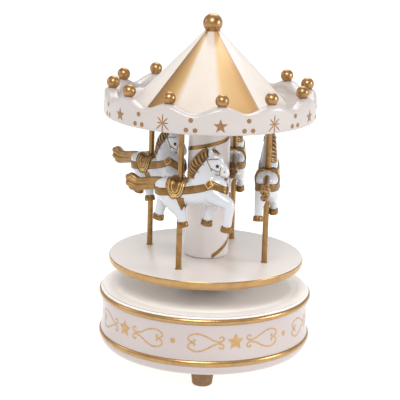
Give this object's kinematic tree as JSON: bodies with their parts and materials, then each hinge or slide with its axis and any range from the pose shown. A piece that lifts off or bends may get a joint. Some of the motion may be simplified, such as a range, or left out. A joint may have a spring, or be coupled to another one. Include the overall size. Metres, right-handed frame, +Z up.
{
  "type": "carousel music box",
  "caption": "Carousel music box: a turning platform with horses on poles under a scalloped, striped canopy, on a round drum base that holds a spring-driven musical movement.",
  "frame": {"origin": "on the plane under the three feet, on the axis that the carousel turns about", "axes": "+Z up along the turning axis; the front foot points along -Y"},
  "size_m": [0.1084, 0.1149, 0.18],
  "materials": {
    "white_lacquered_wood": "white satin lacquer over turned wood, gold paint on the rims",
    "plain_wood": "unpainted board",
    "gold_painted_wood": "satin antique gold paint",
    "gold_painted_metal": "satin gold paint on metal rod",
    "painted_resin": "glossy white cast resin with hand-painted gold trim",
    "steel": "plain steel",
    "brass": "plain brass",
    "zinc_alloy": "die-cast, bare",
    "black_plastic": "moulded",
    "white_plastic": "moulded"
  },
  "bodies": {
    "base": {"base_shell": "white_lacquered_wood", "base_bottom_plate": "plain_wood", "foot_front": "gold_painted_wood", "foot_rear_left": "gold_painted_wood", "foot_rear_right": "gold_painted_wood", "foot_screws": "steel", "bottom_plate_screws": "steel", "movement_bedplate": "zinc_alloy", "movement_screws": "steel", "comb_block": "zinc_alloy", "comb": "steel", "comb_screws": "steel", "cylinder_bracket": "zinc_alloy", "governor_frame": "zinc_alloy", "spindle_bush": "brass"},
    "carousel": {"spring_barrel": "zinc_alloy", "barrel_cover": "zinc_alloy", "mainspring": "steel", "drive_spindle": "steel", "platform_hub": "black_plastic", "hub_screws": "steel", "platform": "white_lacquered_wood", "column": "white_lacquered_wood", "rod_front_left": "gold_painted_metal", "rod_front_right": "gold_painted_metal", "rod_rear_right": "gold_painted_metal", "rod_rear_left": "gold_painted_metal", "horse_front_left": "painted_resin", "horse_front_right": "painted_resin", "horse_rear_right": "painted_resin", "horse_rear_left": "painted_resin", "canopy_shell": "white_lacquered_wood", "canopy_ceiling": "white_lacquered_wood", "canopy_balls": "gold_painted_wood", "finial_ball": "gold_painted_wood"},
    "key": {"winding_arbor": "steel", "winding_key": "brass"},
    "cylinder": {"note_cylinder": "brass", "cylinder_pins": "steel", "cylinder_arbor": "steel", "cylinder_pinion": "brass", "cylinder_gear": "brass"},
    "governor": {"governor_arbor": "steel", "governor_pinion": "brass", "governor_wheel": "white_plastic"},
    "fan": {"governor_worm": "steel", "governor_fan": "white_plastic"}
  },
  "joints": [
    {"name": "carousel_spin", "type": "hinge", "parent": "base", "child": "carousel", "pos_m": [0, 0, 0.04], "axis": [0, 0, 1], "continuous": true},
    {"name": "key_wind", "type": "hinge", "parent": "base", "child": "key", "pos_m": [0, 0, 0.01], "axis": [0, 0, 1], "continuous": true},
    {"name": "cylinder_spin", "type": "hinge", "parent": "base", "child": "cylinder", "pos_m": [0.025, 0, 0.02757], "axis": [1, 0, 0], "continuous": true},
    {"name": "governor_spin", "type": "hinge", "parent": "base", "child": "governor", "pos_m": [0.0399, 0.007, 0.02757], "axis": [1, 0, 0], "continuous": true},
    {"name": "fan_spin", "type": "hinge", "parent": "base", "child": "fan", "pos_m": [0.0399, 0.0125, 0.03], "axis": [0, 0, 1], "continuous": true}
  ],
  "couplings": [
    {"joint": "cylinder_spin", "follows": "carousel_spin", "ratio": 4},
    {"joint": "governor_spin", "follows": "carousel_spin", "ratio": -12},
    {"joint": "fan_spin", "follows": "carousel_spin", "ratio": 288}
  ]
}
